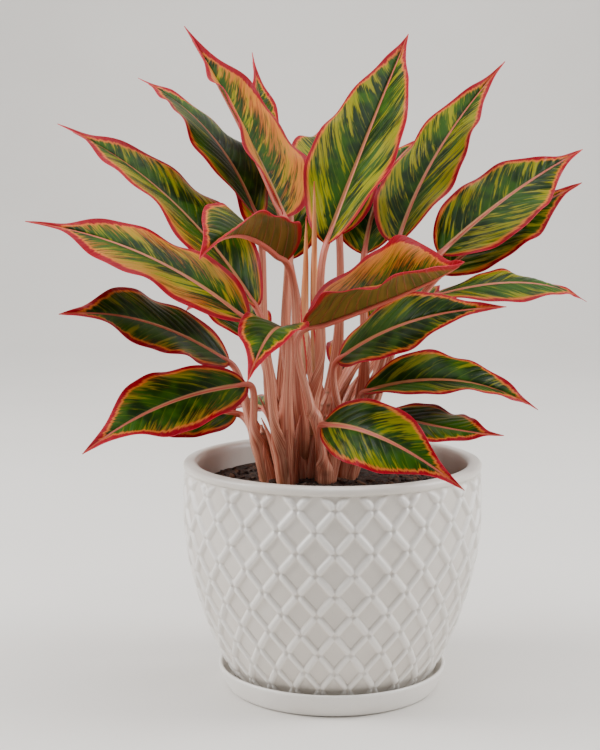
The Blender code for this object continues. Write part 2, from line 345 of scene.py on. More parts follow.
floor_tone = floor_finish.grain(floor_finish.place(), 3.0, detail=3.0)
floor_colour = floor_finish.mix(floor_tone, (0.70, 0.67, 0.63), (0.76, 0.73, 0.69))
floor_finish.set("Base Color", floor_colour)
floor.data.materials.append(floor_finish.material)
print("floor", tuple(floor.dimensions))

# %% [markdown]
# ## Turned pieces
# The saucer, the soil and the pot's lip are round. On a wheel or a lathe they would be thrown from
# one profile, and here one disc is extruded and scaled from point to point of the profile, which
# leaves a closed skin with no seam.

# %% Turning a profile


def go_to(radius, height, last):
    """Extrude the selection from one ring of the profile to the next."""
    last_radius, last_height = last
    bpy.ops.mesh.extrude_region_move(
        TRANSFORM_OT_translate={"value": (0, 0, (height - last_height) * MM)})
    share = radius / last_radius
    bpy.ops.transform.resize(value=(share, share, 1), center_override=(0, 0, height * MM))
    return radius, height


def turn(name, profile, sides):
    """A closed round piece from (radius, height) points in millimetres."""
    deselect()
    radius, height = profile[0]
    bpy.ops.mesh.primitive_circle_add(vertices=sides, radius=radius * MM, fill_type="NGON",
                                      location=(0, 0, height * MM))
    bpy.ops.object.transform_apply(location=True)
    piece = new_piece(name)
    bpy.ops.object.mode_set(mode="EDIT")
    bpy.ops.mesh.select_all(action="SELECT")
    last = profile[0]
    for radius, height in profile[1:]:
        last = go_to(radius, height, last)
    bpy.ops.object.mode_set(mode="OBJECT")
    close_seams(piece)
    return piece


# %% [markdown]
# ## The saucer
# A shallow dish in the pot's own glaze: a flat foot, a wall that leans out a little, and a soft
# rounded edge. Its glaze shows a faint mottle, and it is a touch whiter than the pot.

# %% Saucer shape
SAUCER_PROFILE = (
    (60.0, 0.0), (79.5, 0.0), (81.8, 0.5), (83.2, 2.0), (85.4, 6.5), (88.6, 14.8), (89.4, 17.0),
    (89.2, 18.4), (88.0, 18.9), (86.7, 18.5), (85.9, 17.0), (83.2, 7.6), (81.6, 4.9),
    (79.4, 4.1), (60.0, 4.0),
)
saucer = turn("saucer_glazed", SAUCER_PROFILE, 72)
apply_modifier(saucer, "SUBSURF", levels=2, render_levels=2)
print(len(saucer.data.polygons), "faces on the saucer")

# %% Glaze
PINHOLE_BROWN = (0.42, 0.37, 0.32)
SAUCER_LIGHT, SAUCER_DEEP, SAUCER_ROUGHNESS = (0.83, 0.80, 0.76), (0.74, 0.70, 0.65), 0.36
# The pot's two tones are partly its own mottle and partly painted light: highlight on the bars,
# shade in the panels.
POT_PALE_AND_HIGHLIGHT, POT_DEEP_AND_SHADE, POT_ROUGHNESS = (0.80, 0.765, 0.72), (0.66, 0.61, 0.55), 0.38


def glaze(name, light, deep_and_shade, roughness):
    """Satin glaze: pinholes, a soft mottle, painted highlight on raised places, painted shade
    between.
    """
    made = Finish(name, IOR=1.5, Coat_Weight=0.25, Coat_Roughness=0.22)
    place = made.place()
    mottle = made.grain(place, 26.0, detail=4.0, roughness=0.55)
    speck = made.step(made.grain(place, 900.0, detail=1.0), 0.70, 0.78)
    # How raised a point is sets painted light: paler as a highlight on the bars, deeper as shade in
    # the panels.
    relief_light_and_shade = made.value("raised")
    shade = made.mix(made.step(mottle * 0.6 + relief_light_and_shade * 0.5, 0.22, 0.72), deep_and_shade, light)
    made.set("Base Color", made.mix(speck * 0.35, shade, PINHOLE_BROWN))
    made.set("Roughness", made.step(mottle, 0.3, 0.7, roughness - 0.05, roughness + 0.06))
    broad, fine = made.grain(place, 70.0, detail=2.0), made.grain(place, 420.0, detail=2.0)
    ripple = broad * 0.6 + fine * 0.2
    made.set("Normal", made.bump(ripple, 0.0006, 0.35))
    return made.material


saucer_glaze = glaze("saucer_glaze", SAUCER_LIGHT, SAUCER_DEEP, SAUCER_ROUGHNESS)
set_values(saucer, "raised", np.full(len(saucer.data.vertices), 0.5))
finish_piece(saucer, [saucer_glaze], ["saucer"])
print("saucer glazed")

# %% [markdown]
# ## The pot's wall and its diamond lattice
# On the real pot the lattice is part of the mould: two families of slanting bars cross, and each
# bar is a row of rounded sticks that dip at every crossing. The wall is laid out flat first, as a
# pattern maker would: one diamond tile with lines along both bars, copied by arrays into a sheet,
# trimmed at the lip and the foot, raised along the bars by a formula and then wrapped round the
# pot. Lines that run with the bars keep them smooth with far fewer faces than an even grid.

# %% Lattice sheet
COLUMNS = 26                    # crossings in a row round the pot
ROW_PITCH = 15.7                # millimetres between rows of crossings
FIRST_ROW_HEIGHT = 161.8
WALL_TOP = 171.8
WALL_FOOT = 5.3
FRONT_TURN = math.radians(-88.9)  # where a column of crossings faces the front
TILE_CUTS = 16
TILE_ROWS = 7                   # tiles down the sheet, before it is trimmed
TOP_ROW = 2.0                   # the sheet's row on which the first crossings lie
BAR_CROWDING = 0.55             # how far the tile's lines are drawn towards the bars


def row_of(height):
    """Rows are counted down from the top of the sheet."""
    return TOP_ROW + (FIRST_ROW_HEIGHT - height) / ROW_PITCH


def lattice_tile():
    """One diamond, two half columns wide and two rows high."""
    deselect()
    bpy.ops.mesh.primitive_grid_add(x_subdivisions=TILE_CUTS, y_subdivisions=TILE_CUTS, size=1)
    tile = new_piece("pot_glazed")
    points = points_of(tile) + 0.5
    points[:, :2] -= BAR_CROWDING * np.sin(2 * np.pi * points[:, :2]) / (2 * np.pi)
    across, along = points[:, 0].copy(), points[:, 1].copy()
    flat = np.stack([across + along, along - across, np.zeros(len(points))], axis=1)
    set_points(tile, flat)
    return tile


pot = lattice_tile()
for offset, count in (((2, 0, 0), COLUMNS), ((1, -1, 0), 2), ((0, -2, 0), TILE_ROWS)):
    apply_modifier(pot, "ARRAY", use_relative_offset=False, use_constant_offset=True,
                   constant_offset_displace=offset, count=count)
close_seams(pot)
for height, keep_below in ((WALL_TOP, True), (WALL_FOOT, False)):
    pick(pot)
    bpy.ops.object.mode_set(mode="EDIT")
    bpy.ops.mesh.select_all(action="SELECT")
    bpy.ops.mesh.bisect(plane_co=(0, -row_of(height), 0), plane_no=(0, 1, 0),
                        clear_outer=keep_below, clear_inner=not keep_below)
    bpy.ops.object.mode_set(mode="OBJECT")
print(len(pot.data.polygons), "faces on the lattice sheet")

# %% Raising the bars and wrapping the sheet
WALL_PROFILE = (                # height, radius over the bars
    (4.3, 72.0), (11.3, 77.5), (19.6, 83.6), (41.0, 93.6), (75.0, 105.8), (115.0, 114.2),
    (149.0, 115.9), (171.8, 115.0),
)
BAR_HEIGHT = 2.5
BAR_HALF_WIDTH = 2.7
DIP_LENGTH = (0.8, 2.7)         # the dip at a crossing, measured along the bar
DIP_SHARE = 0.22
PROFILE_CURVE = np.polyfit(*np.array(WALL_PROFILE).T, 5)


def wall_radius(height):
    """Radius of the flat panels at a height, both in millimetres."""
    return np.polyval(PROFILE_CURVE, height) - BAR_HEIGHT


def soft(low, high, value):
    """A smooth step from 0 to 1; with high below low it steps down instead."""
    share = np.clip((value - low) / (high - low), 0, 1)
    return share * share * (3 - 2 * share)


def bar_relief(across, along, edge):
    """Height share of one family of bars: round sticks that dip and narrow at the crossings."""
    from_line = np.abs(across - np.round(across)) * edge
    from_crossing = np.abs(along - np.round(along)) * edge
    full = soft(*DIP_LENGTH, from_crossing)
    half_width = BAR_HALF_WIDTH * (0.85 + 0.15 * full)
    section = np.clip(1 - (from_line / half_width) ** 2.6, 0, 1) ** 0.75
    return section * (DIP_SHARE + (1 - DIP_SHARE) * full)


flat = points_of(pot)
half_column, row = flat[:, 0], -flat[:, 1]
height = FIRST_ROW_HEIGHT - (row - TOP_ROW) * ROW_PITCH
radius = wall_radius(height)
cell_edge = np.hypot(2 * np.pi * radius / (2 * COLUMNS), ROW_PITCH)
first, second = (half_column + row) / 2, (half_column - row) / 2
relief = np.maximum(bar_relief(first, second, cell_edge), bar_relief(second, first, cell_edge))
relief *= soft(WALL_TOP - 0.4, WALL_TOP - 3.4, height)
relief *= soft(WALL_FOOT + 3.5, WALL_FOOT + 6.5, height)
turn_angle = FRONT_TURN + 2 * np.pi * half_column / (2 * COLUMNS)
reach = (radius + BAR_HEIGHT * relief) * MM
wrapped = (reach * np.cos(turn_angle), reach * np.sin(turn_angle), height * MM)
set_points(pot, np.stack(wrapped, axis=1))
# The relief is kept for the glaze, which paints highlight on the bars and shade in the panels from
# it.
set_values(pot, "raised", relief)
close_seams(pot, 2e-5)
print("wall wrapped, panel radius at the lip", round(float(wall_radius(WALL_TOP)), 2), "mm")

# %% [markdown]
# ## The pot's lip, inside and foot
# The lip is plain and softly rounded, and the inside is a smooth bowl down to one drain hole. The
# wall's top edge is extruded over the lip and down the inside, as a finger would pull the clay, and
# the last ring is bridged to the wall's foot.

# %% Lip, inside and foot
LIP_PROFILE = (
    (114.2, 172.5), (115.0, 173.4), (115.4, 175.0), (115.2, 176.6), (114.3, 177.9), (112.8, 178.5),
    (110.0, 178.6), (107.2, 178.4), (105.2, 177.5), (104.2, 175.8), (103.8, 172.0), (103.5, 160.0),
    (103.0, 138.0), (98.6, 94.0), (87.2, 52.0), (69.0, 14.5), (8.4, 12.0), (8.0, 11.0), (8.0, 6.0),
    (8.6, 5.3), (62.0, 5.3), (63.5, 4.4), (69.5, 4.4),
)


def select_ring(piece, low, high):
    """Select the points of the open edges between two heights, in millimetres."""
    pick(piece)
    bpy.ops.object.mode_set(mode="EDIT")
    bpy.ops.mesh.select_mode(type="EDGE")
    bpy.ops.mesh.select_all(action="DESELECT")
    bpy.ops.mesh.select_non_manifold(extend=False, use_wire=False, use_multi_face=False,
                                     use_non_contiguous=False, use_verts=False)
    bpy.ops.object.mode_set(mode="OBJECT")
    for edge in piece.data.edges:
        ends = [piece.data.vertices[i].co.z / MM for i in edge.vertices]
        edge.select = edge.select and low < min(ends) and max(ends) < high
    used = {i for edge in piece.data.edges if edge.select for i in edge.vertices}
    for point in piece.data.vertices:
        point.select = point.index in used
    bpy.ops.object.mode_set(mode="EDIT")


select_ring(pot, WALL_TOP - 1, WALL_TOP + 1)
last = (float(wall_radius(WALL_TOP)), WALL_TOP)
for lip_radius, lip_height in LIP_PROFILE:
    last = go_to(lip_radius, lip_height, last)
bpy.ops.object.mode_set(mode="OBJECT")
select_ring(pot, 0, WALL_FOOT + 1)
bpy.ops.mesh.bridge_edge_loops()
bpy.ops.object.mode_set(mode="OBJECT")
close_seams(pot)
pot_glaze = glaze("pot_glaze", POT_PALE_AND_HIGHLIGHT, POT_DEEP_AND_SHADE, POT_ROUGHNESS)
finish_piece(pot, [pot_glaze], ["pot"], angle=50)
print(len(pot.data.polygons), "faces on the pot, size", tuple(pot.dimensions))

# %% [markdown]
# ## The potting mix
# Loose bark and peat, almost level with the inside of the lip. A turned solid fills the pot, its
# top is pushed about by noise, and nine hundred crumbs and bark chips of three shapes lie on it.
# Real mix could be simulated grain by grain, but only its top shows.

# %% Soil bed
SOIL_TOP = 163.5
SOIL_CROWN = 0.0004             # how much the top falls away from its middle
SOIL_WALL = (
    (60.0, 15.2), (68.0, 15.2), (86.9, 52.2), (98.4, 95.2), (102.4, 140.0), (102.7, 159.0),
)
SOIL_RINGS = tuple((radius, SOIL_TOP - SOIL_CROWN * radius * radius)
                   for radius in np.arange(101.5, 1.0, -2.0))
LOOSE_RADIUS, LOOSE_HEIGHT = 102.0, 158.5   # only the top inside these is pushed about
MIDDLE_OF_STEMS = Vector((-12.0, 8.0, 0.0))


def soil_height(x, y):
    """Height of the mix in millimetres: lumpy, and heaped a little round the stems."""
    lump = noise.fractal(Vector((x, y, 3.0)) / 17.0, 1.0, 2.0, 3)
    crumb = noise.fractal(Vector((x, y, 9.0)) / 4.5, 1.0, 2.0, 2)
    heap = 2.2 * math.exp(-(Vector((x, y, 0.0)) - MIDDLE_OF_STEMS).length_squared / 1500.0)
    return SOIL_TOP - SOIL_CROWN * (x * x + y * y) + 1.6 * lump + 0.9 * crumb + heap


soil = turn("soil_bed", SOIL_WALL + SOIL_RINGS, 120)
soil_points = points_of(soil)
for point in soil_points:
    x, y, z = point / MM
    if z > LOOSE_HEIGHT and math.hypot(x, y) < LOOSE_RADIUS:
        point[2] = soil_height(x, y) * MM
set_points(soil, soil_points)
print(len(soil.data.polygons), "faces on the soil")

# %% Crumbs and bark chips
CRUMB_COUNT = 900
CRUMB_REACH = 98.0
CRUMB_SIZES = (0.8, 1.0, 1.3, 1.6, 2.2, 2.8)
CRUMB_STRETCH = ((1.0, 0.9, 0.7), (1.5, 0.8, 0.35), (1.0, 0.65, 0.5))
draw = random.Random(7)


def crumb_shape(number):
    """A small block, bevelled and dented so that no two shapes look alike."""
    deselect()
    if number == 0:
        bpy.ops.mesh.primitive_ico_sphere_add(subdivisions=1, radius=1)
    else:
        bpy.ops.mesh.primitive_cube_add(size=1.6)
    shape = new_piece("crumb")
    if number > 0:
        apply_modifier(shape, "BEVEL", width=0.35, segments=1)
    points = points_of(shape)
    for point in points:
        point *= 1.0 + 0.35 * noise.noise(Vector(point) * 1.7 + Vector((5.0 * number, 0, 0)))
    points *= CRUMB_STRETCH[number]
    set_points(shape, points)
    return shape


shapes = [crumb_shape(number) for number in range(3)]
crumbs = []
for number in range(CRUMB_COUNT):
    source = shapes[draw.choice((0, 0, 1, 2))]
    crumb = copy_piece(source, "crumb")
    turns = Euler((draw.uniform(-0.5, 0.5), draw.uniform(-0.5, 0.5), draw.uniform(0, 6.3)))
    size = draw.choice(CRUMB_SIZES) * draw.uniform(0.8, 1.2)
    distance, bearing = CRUMB_REACH * math.sqrt(draw.random()), draw.uniform(0, 2 * math.pi)
    x, y = distance * math.cos(bearing), distance * math.sin(bearing)
    points = points_of(crumb) @ np.array(turns.to_matrix()).T * size * MM
    set_points(crumb, points + np.array((x, y, soil_height(x, y) + 0.25 * size)) * MM)
    set_values(crumb, "kind", np.full(len(points), draw.random()))
    crumbs.append(crumb)
pick(*crumbs)
bpy.ops.object.join()
crumbs = new_piece("soil_crumbs")
for shape in shapes:
    bpy.data.objects.remove(shape)
print(len(crumbs.data.polygons), "faces on the crumbs")

# %% Soil finish
DAMP_PEAT, DRY_PEAT = (0.012, 0.007, 0.005), (0.085, 0.045, 0.028)
BARK_CHIP = (0.17, 0.085, 0.045)
mix_finish = Finish("potting_mix", roughness=0.92)
mix_place = mix_finish.place()
mix_grain = mix_finish.grain(mix_place, 260.0, detail=4.0, roughness=0.7)
mix_tone = mix_finish.mix(mix_finish.step(mix_grain, 0.35, 0.7), DAMP_PEAT, DRY_PEAT)
chip = mix_finish.step(mix_finish.value("kind"), 0.55, 0.95)
mix_finish.set("Base Color", mix_finish.mix(chip * 0.75, mix_tone, BARK_CHIP))
mix_finish.set("Normal", mix_finish.bump(mix_grain, 0.0012, 0.8))
set_values(soil, "kind", np.zeros(len(soil.data.vertices)))
for piece in (soil, crumbs):
    finish_piece(piece, [mix_finish.material], ["soil"], angle=35)
print("soil finished")

# %% [markdown]
# ## Canes
# A Chinese evergreen makes short upright canes. Old leaves leave a ring where they let go, and the
# cane swells a little between the rings. Each one is a cylinder cut into many rings, whose points
# are moved along the cane and out by its swelling.

# %% Cane table and shape
CANES = {           # foot x, y; top x, y, z; radius
    "a": ((-48, -10), (-54, -12, 205), 5.5), "b": ((-34, -22), (-37, -26, 212), 5.5),
    "c": ((-21, -4), (-21, -4, 238), 7.0), "d": ((-5, -20), (-1, -24, 205), 5.5),
    "e": ((10, -4), (16, -4, 212), 6.0), "f": ((-34, 16), (-38, 22, 228), 5.5),
    "g": ((-8, 18), (-4, 26, 228), 6.0), "h": ((12, 20), (19, 27, 220), 5.5),
    "i": ((2, 38), (6, 48, 220), 5.0),
}
COLLAR = 164.5
ROOT_DEPTH = 22.0
CANE_RINGS, CANE_SIDES = 90, 20
RING_SPACING = 9.0
BURIED_SHARE = 0.86             # how thick a cane is in the soil


def tube_blank(name, sides, rings):
    """A unit tube along Z: x and y lie on the unit circle and z runs from 0 to 1."""
    deselect()
    bpy.ops.mesh.primitive_cylinder_add(vertices=sides, radius=1, depth=1, location=(0, 0, 0.5))
    bpy.ops.object.transform_apply(location=True)
    blank = new_piece(name)
    for cut in range(1, rings):
        bpy.ops.object.mode_set(mode="EDIT")
        bpy.ops.mesh.select_all(action="SELECT")
        bpy.ops.mesh.bisect(plane_co=(0, 0, cut / rings), plane_no=(0, 0, 1))
    bpy.ops.object.mode_set(mode="OBJECT")
    return blank


def cane_at(name, height):
    """Centre of a cane at a height, in millimetres."""
    (foot_x, foot_y), top, _ = CANES[name]
    foot = Vector((foot_x, foot_y, COLLAR))
    return foot.lerp(Vector(top), (height - COLLAR) / (top[2] - COLLAR))


cane_blank = tube_blank("cane_blank", CANE_SIDES, CANE_RINGS)
canes = {}
for number, (cane_name, (_, cane_top, cane_radius)) in enumerate(CANES.items()):
    cane = copy_piece(cane_blank, "cane_" + cane_name + "_bark")
    unit = points_of(cane)
    rise = unit[:, 2].copy()
    bottom, top = SOIL_TOP - ROOT_DEPTH, cane_top[2] + 2.0
    levels = bottom + (top - bottom) * rise
    middles = np.array([cane_at(cane_name, max(level, COLLAR)) for level in levels])
    phase = (levels - COLLAR + 3.1 * number) / RING_SPACING
    from_ring = np.abs(phase - np.round(phase)) * RING_SPACING
    swell = 1.0 + 0.07 * np.exp(-(from_ring / 0.8) ** 2)
    swell -= 0.05 * np.exp(-(from_ring - 1.8) ** 2)
    swell = np.where(levels > COLLAR, swell, BURIED_SHARE)
    swell *= 1.0 - 0.85 * soft(top - 14.0, top, levels)
    shaped = middles + unit * (cane_radius * swell)[:, None]
    shaped[:, 2] = levels
    set_points(cane, shaped * MM)
    set_values(cane, "ring", np.exp(-(from_ring / 0.9) ** 2))
    set_values(cane, "rise", soft(COLLAR - 4, COLLAR + 45, levels))
    canes["cane_" + cane_name] = cane
print(len(CANES), "canes shaped")

# %% Cane finish
BARK_DARK, BARK_LIGHT, BARK_FIBRE = (0.30, 0.125, 0.050), (0.46, 0.25, 0.13), (0.55, 0.33, 0.19)
BARK_YOUNG, LEAF_SCAR = (0.60, 0.22, 0.14), (0.16, 0.075, 0.035)
bark = Finish("cane_bark", roughness=0.55)
bark_place = bark.place()
bark_x, bark_y, bark_z = bark.parts(bark_place)
along_cane = bark.join(bark_x * 420.0, bark_y * 420.0, bark_z * 45.0)
fibre = bark.grain(along_cane, 1.0, detail=3.0)
blotch = bark.grain(bark_place, 95.0, detail=3.0)
bark_tone = bark.mix(bark.step(blotch, 0.35, 0.65), BARK_DARK, BARK_LIGHT)
bark_tone = bark.mix(bark.step(fibre, 0.35, 0.8) * 0.6, bark_tone, BARK_FIBRE)
bark_tone = bark.mix(bark.value("rise") * 0.7, bark_tone, BARK_YOUNG)
bark.set("Base Color", bark.mix(bark.value("ring") * 0.75, bark_tone, LEAF_SCAR))
bark.set("Normal", bark.bump(fibre, 0.0004, 0.6))
bpy.data.objects.remove(cane_blank)
for node, cane in canes.items():
    finish_piece(cane, [bark.material], [node])
print("canes finished")

# %% [markdown]
# ## The leaf's finishes
# A Chinese evergreen leaf is painted by its own tissue: a red margin that bleeds inwards along the
# side veins, yellow-green and orange streaks between them, dark green patches and a pale pink
# midrib. So the pattern follows the leaf and not space: each point of a blade knows how far along
# and across it lies and how far it is from the margin, and the materials read those measures, all
# in millimetres. Three more numbers per leaf say how yellow, how red and how different it is.

# %% Leaf coordinates
VEIN_PITCH = 11.0               # millimetres between side veins, along the midrib
VEIN_SLANT, VEIN_CURVE = 1.15, 0.012    # how far a vein runs towards the tip on its way out


class LeafPlan:
    """The measures of one blade point, ready for masks."""

    def __init__(self, finish):
        along, across, self.edge = finish.parts(finish.vector("blade_place"))
        seed, self.yellow, self.red = finish.parts(finish.vector("tone"))
        self.span = finish.value("span")
        self.side = abs(across)
        sweep = along - self.side * VEIN_SLANT - self.side * self.side * VEIN_CURVE
        half_shift = finish.step(across, -0.01, 0.01, 0.0, 0.5)
        vein = sweep / VEIN_PITCH + half_shift
        self.from_vein = abs(vein.maths("FRACT") - 0.5) * VEIN_PITCH
        flow = finish.join(vein * VEIN_PITCH, self.side * 0.24 + half_shift * 90.0, seed * 61.0)
        self.streak = finish.grain(flow, 0.105, detail=3.0, roughness=0.6, distortion=0.6)
        self.fleck = finish.grain(flow, 0.36, detail=2.0, roughness=0.6, distortion=0.8)
        spot = finish.join(along, across, seed * 83.0)
        self.patch = finish.grain(spot, 0.045, detail=2.0)
        self.outer = self.side / (self.side + self.edge)


# %% Upper side of a leaf
DARK_GREEN, LEAF_GREEN = (0.004, 0.018, 0.0), (0.020, 0.066, 0.0)
YELLOW_GREEN, ORANGE = (0.32, 0.285, 0.0), (0.62, 0.135, 0.02)
CRIMSON, PINK, VEIN_GREEN = (0.26, 0.0, 0.008), (0.50, 0.008, 0.035), (0.10, 0.15, 0.003)
MIDRIB_CREAM, MIDRIB_PINK = (0.55, 0.25, 0.12), (0.44, 0.07, 0.04)


def margin_masks(finish, plan):
    """How red and how orange a point is, from its distance to the margin."""
    bleed = plan.streak * 5.0 + plan.fleck * 4.0 - 3.4
    width = bleed + plan.red * 4.2 + 1.5
    red = finish.step(plan.edge - width, -0.9, 0.9, 1.0, 0.0)
    orange = finish.step(plan.edge - width * 1.1, 0.0, 2.6, 1.0, 0.0)
    tip = finish.step(plan.span + plan.fleck * 0.10, 0.90, 1.0)
    return red.maths("MAXIMUM", tip), orange


face = Finish("leaf_face", roughness=0.42, Specular_IOR_Level=0.12)
plan = LeafPlan(face)
green = face.mix(face.step(plan.patch, 0.38, 0.62), DARK_GREEN, LEAF_GREEN)
lean = plan.yellow * 0.10 + plan.outer * 0.16 - 0.10
yellow_share = face.step(plan.streak * 0.65 + plan.fleck * 0.35 + lean, 0.51, 0.61)
green = face.mix(yellow_share * (plan.yellow * 0.6 + 0.35), green, YELLOW_GREEN)
near_vein = face.step(plan.from_vein, 0.25, 1.1, 0.45, 0.0)
green = face.mix(near_vein * 0.6, green, VEIN_GREEN)
red_share, orange_share = margin_masks(face, plan)
flush = face.step(plan.fleck * 0.6 + plan.red * 0.25 + plan.outer * 0.35, 0.56, 0.80)
blush = face.mix(orange_share.maths("MAXIMUM", flush * plan.red) * 0.9, green, ORANGE)
rim_tone = face.mix(face.step(plan.edge, 0.0, 0.6), PINK, CRIMSON)
painted = face.mix(red_share, blush, rim_tone)
rib_width = (1.0 - plan.span) * 2.1 + 0.25
rib_share = face.step(plan.side - rib_width, -0.35, 0.35, 1.0, 0.0)
rib_tone = face.mix(face.step(plan.span, 0.45, 0.95), MIDRIB_CREAM, MIDRIB_PINK)
face.set("Base Color", face.mix(rib_share * 0.92, painted, rib_tone))
face.set("Roughness", face.step(plan.patch, 0.3, 0.7, 0.34, 0.46))
skin = plan.fleck * 0.35 + face.step(plan.from_vein, 0.0, 2.4) * 0.12
skin = skin + face.step(plan.side, 0.2, 2.2) * 0.6
face.set("Normal", face.bump(skin, 0.0009, 0.8))
print("leaf face ready")

# %% Underside of a leaf
OLIVE_DARK, OLIVE_LIGHT = (0.075, 0.062, 0.006), (0.17, 0.095, 0.012)
BACK_VEIN, BACK_ORANGE, BACK_RED = (0.26, 0.055, 0.018), (0.32, 0.07, 0.015), (0.36, 0.008, 0.014)
back = Finish("leaf_back", roughness=0.55, Specular_IOR_Level=0.3)
plan = LeafPlan(back)
olive = back.mix(back.step(plan.streak, 0.35, 0.65), OLIVE_DARK, OLIVE_LIGHT)
olive = back.mix(back.step(plan.from_vein, 0.3, 1.2, 0.6, 0.0), olive, BACK_VEIN)
red_share, orange_share = margin_masks(back, plan)
olive = back.mix(orange_share * 0.6, olive, BACK_ORANGE)
back.set("Base Color", back.mix(red_share, olive, BACK_RED))
back.set("Normal", back.bump(back.step(plan.from_vein, 0.0, 1.4, 1.0, 0.0), 0.0006, 0.7))
print("leaf back ready")

# %% Petioles
SALMON_DEEP, SALMON_PALE_AND_HIGHLIGHT = (0.42, 0.098, 0.052), (0.74, 0.35, 0.23)
SALMON_RED = (0.50, 0.065, 0.042)
FOOT_DARK, FOOT_LIGHT = (0.15, 0.052, 0.010), (0.32, 0.12, 0.042)
stalk_skin = Finish("petiole", roughness=0.42, Specular_IOR_Level=0.4)
rise, around, stalk_seed = stalk_skin.parts(stalk_skin.vector("stalk_place"))
lengthwise = stalk_skin.join(around * 7.0, rise * 2.2, stalk_seed * 41.0)
fibre = stalk_skin.grain(lengthwise, 1.0, detail=3.0)
crosswise = stalk_skin.join(around * 1.5, rise * 9.0, stalk_seed * 23.0)
blotch = stalk_skin.grain(crosswise, 1.0, detail=2.0)
# Pale lengthwise streaks: partly the stalk's own streaking, partly painted highlight along its
# length.
salmon = stalk_skin.mix(stalk_skin.step(fibre, 0.35, 0.70), SALMON_DEEP, SALMON_PALE_AND_HIGHLIGHT)
salmon = stalk_skin.mix(stalk_skin.step(rise, 0.6, 1.2) * 0.8, salmon, SALMON_RED)
brown_foot = stalk_skin.mix(stalk_skin.step(blotch, 0.4, 0.7), FOOT_DARK, FOOT_LIGHT)
foot_share = stalk_skin.step(rise + blotch * 0.25, 0.02, 0.36, 0.9, 0.0)
stalk_skin.set("Base Color", stalk_skin.mix(foot_share, salmon, brown_foot))
stalk_skin.set("Normal", stalk_skin.bump(fibre, 0.0005, 0.5))
print("petiole ready")

# %% [markdown]
# ## Leaves
# A leaf could be cut from a curved sheet or grown by a sculptor. Here one flat blank and one plain
# tube are made once. For each leaf a copy of the blank is bent along the leaf's own midrib curve,
# narrowed to its outline with the long drip tip, folded, quilted between the side veins and waved
# at the margins, and then given its thickness. The tube follows the same midrib: it clasps the cane
# as a sheath, thins into the petiole, and runs on under the blade as its keel.

# %% Leaf table
LEAVES = {          # cane, height; neck; tip; width, arch, bow, roll, fold; yellow, red
    "leaf_top_left": (
        "c", 236, (-37, 4, 365), (-122, 101, 519), 94, -2, -15, 17, 28, 0.75, 0.85),
    "leaf_top_left_rear": (
        "f", 226, (-38, 62, 390), (-70, 168, 504), 46, -5, 0, 46, 19, 0.5, 0.5),
    "leaf_top_middle": (
        "c", 232, (-5, -20, 345), (60, 80, 510), 85, 15, -10, 0, 20, 0.5, 0.12),
    "leaf_top_right": (
        "h", 218, (50, 10, 345), (140, 100, 490), 80, 0, 20, 0, 12, 0.6, 0.15),
    "leaf_right_high": (
        "g", 224, (85, 50, 335), (210, 130, 420), 70, 5, 5, 40, 10, 0.55, 0.12),
    "leaf_right_high_rear": (
        "h", 216, (88, 72, 318), (207, 112, 392), 65, 5, 5, 40, 10, 0.5, 0.2),
    "leaf_left_high": (
        "f", 220, (-60, 35, 365), (-165, 135, 480), 75, 20, -5, 10, 8, 0.12, 0.1),
    "leaf_left_upper": (
        "b", 210, (-58, -6, 296), (-219, 53, 438), 90, 25, 0, -10, 15, 0.4, 0.45),
    "leaf_left_middle": (
        "b", 190, (-61, -75, 292), (-224, -54, 363), 74, 15, -10, -25, 8, 0.5, 0.65),
    "leaf_left_lower": (
        "a", 200, (-80, 12, 252), (-192, -100, 299), 68, 5, -20, -45, 10, 0.1, 0.3),
    "leaf_front_left": (
        "a", 194, (-64, -28, 240), (-173, -125, 204), 62, 6, -12, -38, 8, 0.15, 0.35),
    "leaf_low_left": (
        "a", 180, (-76, 30, 209), (-174, -26, 207), 50, 6, -7, -56, 9, 0.25, 0.1),
    "leaf_centre_left": (
        "c", 214, (-35, -36, 333), (-86, -175, 341), 71, 24, -8, -5, 38, 0.15, 0.3),
    "leaf_centre_front": (
        "b", 200, (-33, -52, 283), (-56, -165, 260), 52, 20, 0, -6, 20, 0.15, 0.25),
    "leaf_centre_right": (
        "d", 202, (-20, -33, 283), (85, -169, 339), 88, -14, 26, 36, 50, 0.2, 0.8),
    "leaf_right_middle": (
        "e", 204, (4, 4, 255), (125, -65, 302), 59, 16, 5, 48, 8, 0.05, 0.05),
    "leaf_right_far": (
        "h", 196, (77, 38, 302), (206, 70, 296), 54, 32, -25, 22, 0, 0.4, 0.1),
    "leaf_right_lower": (
        "e", 196, (24, 2, 230), (160, 11, 216), 60, 28, -2, 29, 22, 0.1, 0.05),
    "leaf_low_right": (
        "e", 176, (38, 12, 213), (125, -64, 208), 57, 0, -5, 20, 5, 0.35, 0.25),
    "leaf_front_rim": (
        "d", 174, (-8, -38, 211), (92, -118, 178), 56, 28, 7, 56, 0, 0.3, 0.05),
    "leaf_back_middle": (
        "g", 222, (5, 50, 350), (-10, 190, 440), 80, 25, 0, 0, 15, 0.6, 0.2),
    "leaf_back_right": (
        "h", 200, (25, 45, 335), (75, 165, 430), 80, 20, 5, 0, 12, 0.5, 0.15),
    "leaf_back_left": (
        "g", 216, (-35, 60, 330), (-78, 200, 400), 78, 25, 0, 5, 12, 0.6, 0.2),
    "leaf_back_low_left": (
        "f", 196, (-62, 60, 262), (-130, 168, 280), 66, 25, 0, 0, 12, 0.4, 0.2),
    "leaf_back_low_middle": (
        "i", 205, (10, 78, 236), (48, 175, 242), 60, 22, 0, 0, 12, 0.4, 0.2),
    "leaf_back_low_right": (
        "i", 215, (45, 78, 262), (85, 185, 300), 66, 22, 0, 0, 12, 0.4, 0.2),
    "leaf_back_over_rim": (
        "f", 176, (-55, 48, 210), (-105, 130, 184), 56, 16, 0, 0, 12, 0.3, 0.2),
}

# %% Midrib curves and frames


